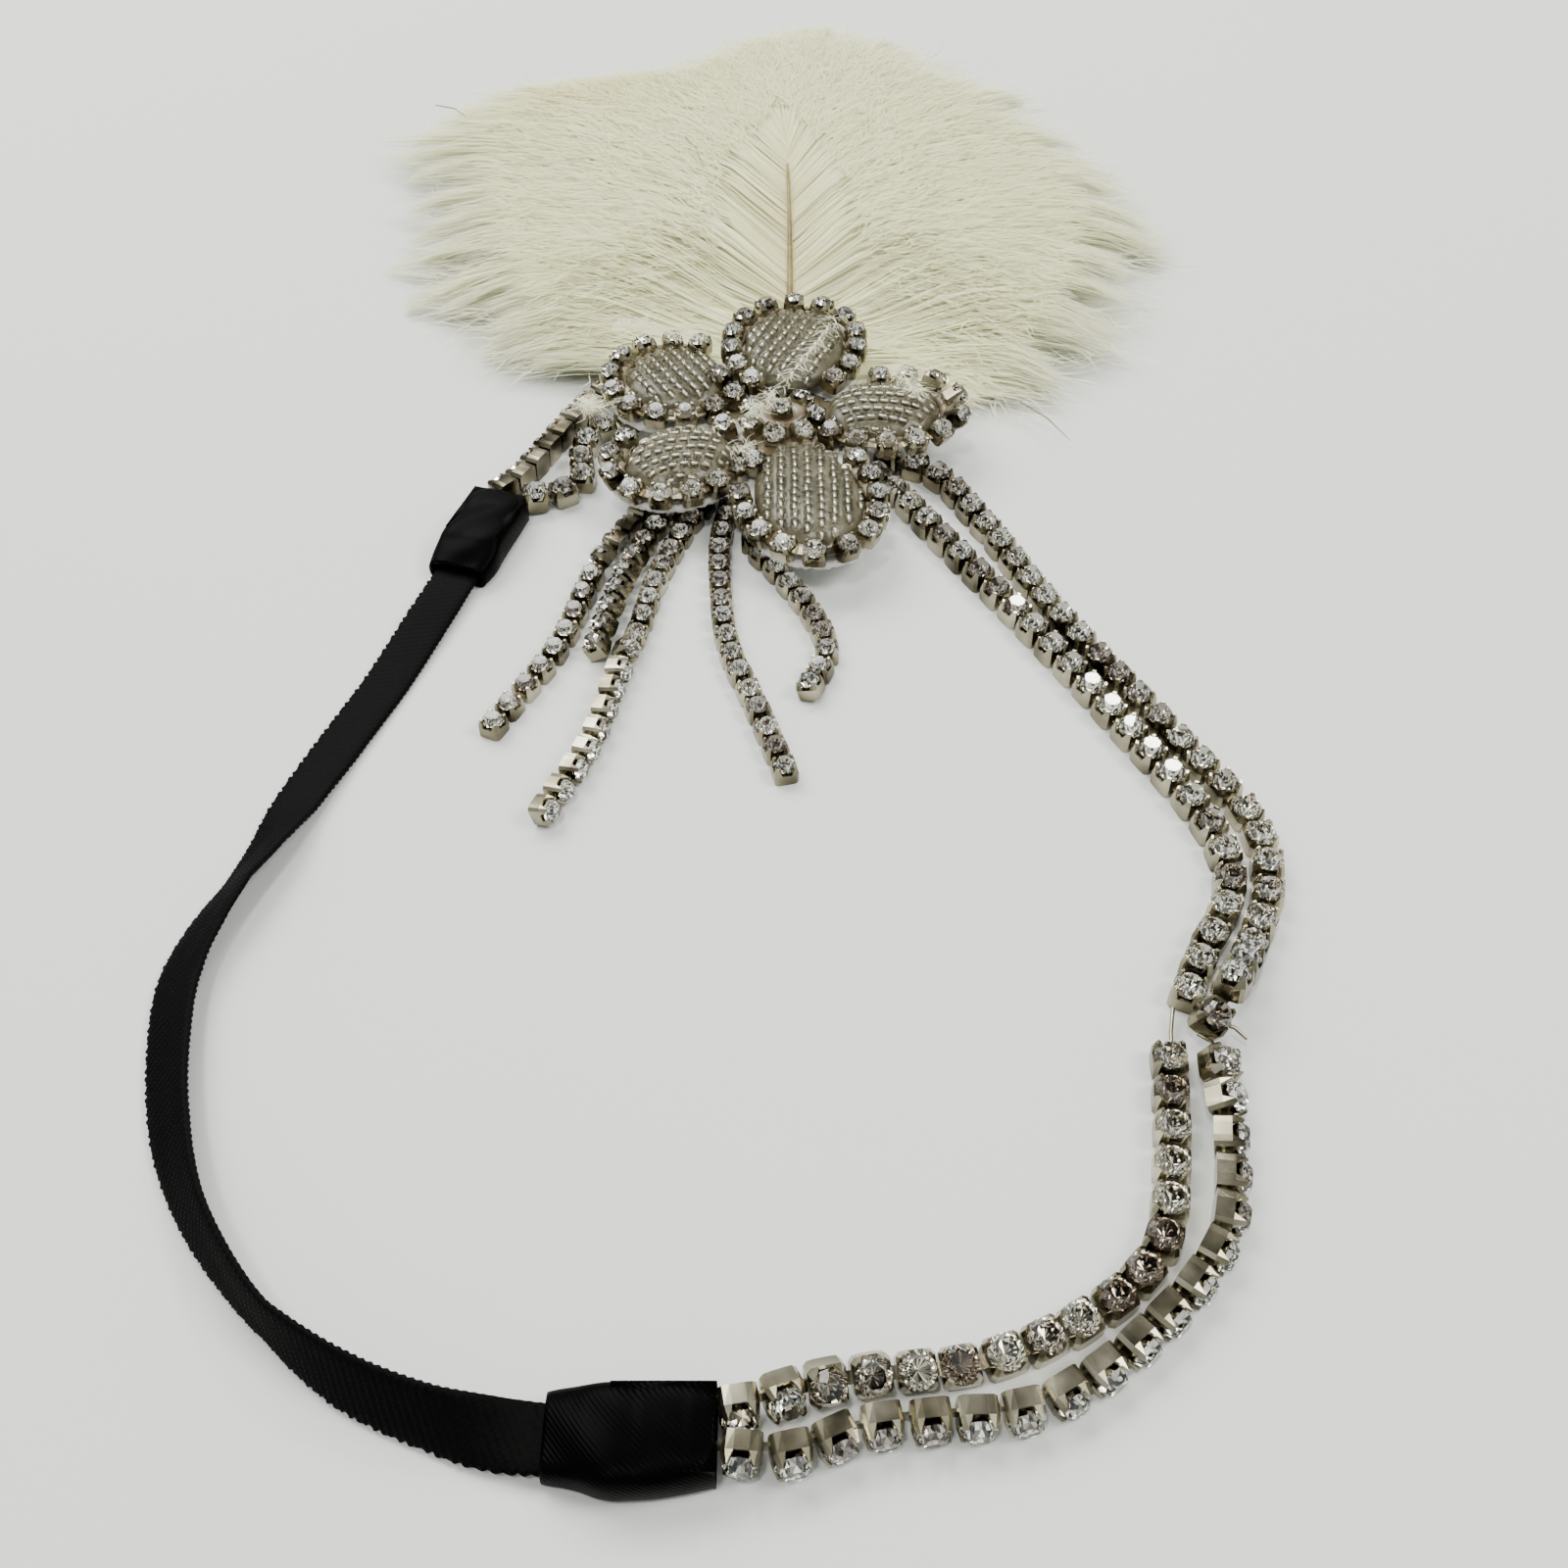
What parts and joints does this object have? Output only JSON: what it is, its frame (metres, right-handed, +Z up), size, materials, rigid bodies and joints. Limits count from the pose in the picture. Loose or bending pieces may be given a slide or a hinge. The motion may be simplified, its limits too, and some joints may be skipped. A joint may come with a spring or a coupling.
{
  "type": "flapper feather headband",
  "caption": "Stretch headband: a loop of rhinestone cup chains and black elastic that carries a beaded flower with a chain fringe and an ostrich plume.",
  "frame": {"origin": "middle of the headband's outline, on the table that it lies on", "axes": "+X to the right as it lies, +Y from the loop towards the plume, +Z up from the table"},
  "size_m": [0.1496, 0.3114, 0.0145],
  "materials": {
    "rhinestones": "clear foiled glass stones in plated brass cups",
    "beads": "rows of clear and pearl seed beads",
    "felt": "matte felt",
    "feather": "soft ivory ostrich barbs",
    "elastic": "ribbed braided elastic, matte",
    "satin": "satin ribbon, soft sheen"
  },
  "bodies": {
    "root": {"ostrich_plume": "feather", "felt_backing": "felt", "petal_top": "beads", "petal_upper_left": "beads", "petal_lower_left": "beads", "petal_bottom": "beads", "petal_right": "beads", "stones_top": "rhinestones", "stones_upper_left": "rhinestones", "stones_lower_left": "rhinestones", "stones_bottom": "rhinestones", "stones_right": "rhinestones", "flower_heart": "rhinestones", "fringe_1": "rhinestones", "fringe_2": "rhinestones", "fringe_3": "rhinestones", "fringe_4": "rhinestones", "fringe_5": "rhinestones", "band_chain_upper_outer": "rhinestones", "band_chain_upper_inner": "rhinestones", "band_chain_lower_inner": "rhinestones", "band_chain_lower_outer": "rhinestones", "side_chain_back": "rhinestones", "side_chain_front": "rhinestones", "elastic_band": "elastic", "ribbon_wrap_upper": "satin", "ribbon_wrap_lower": "satin"}
  },
  "joints": []
}
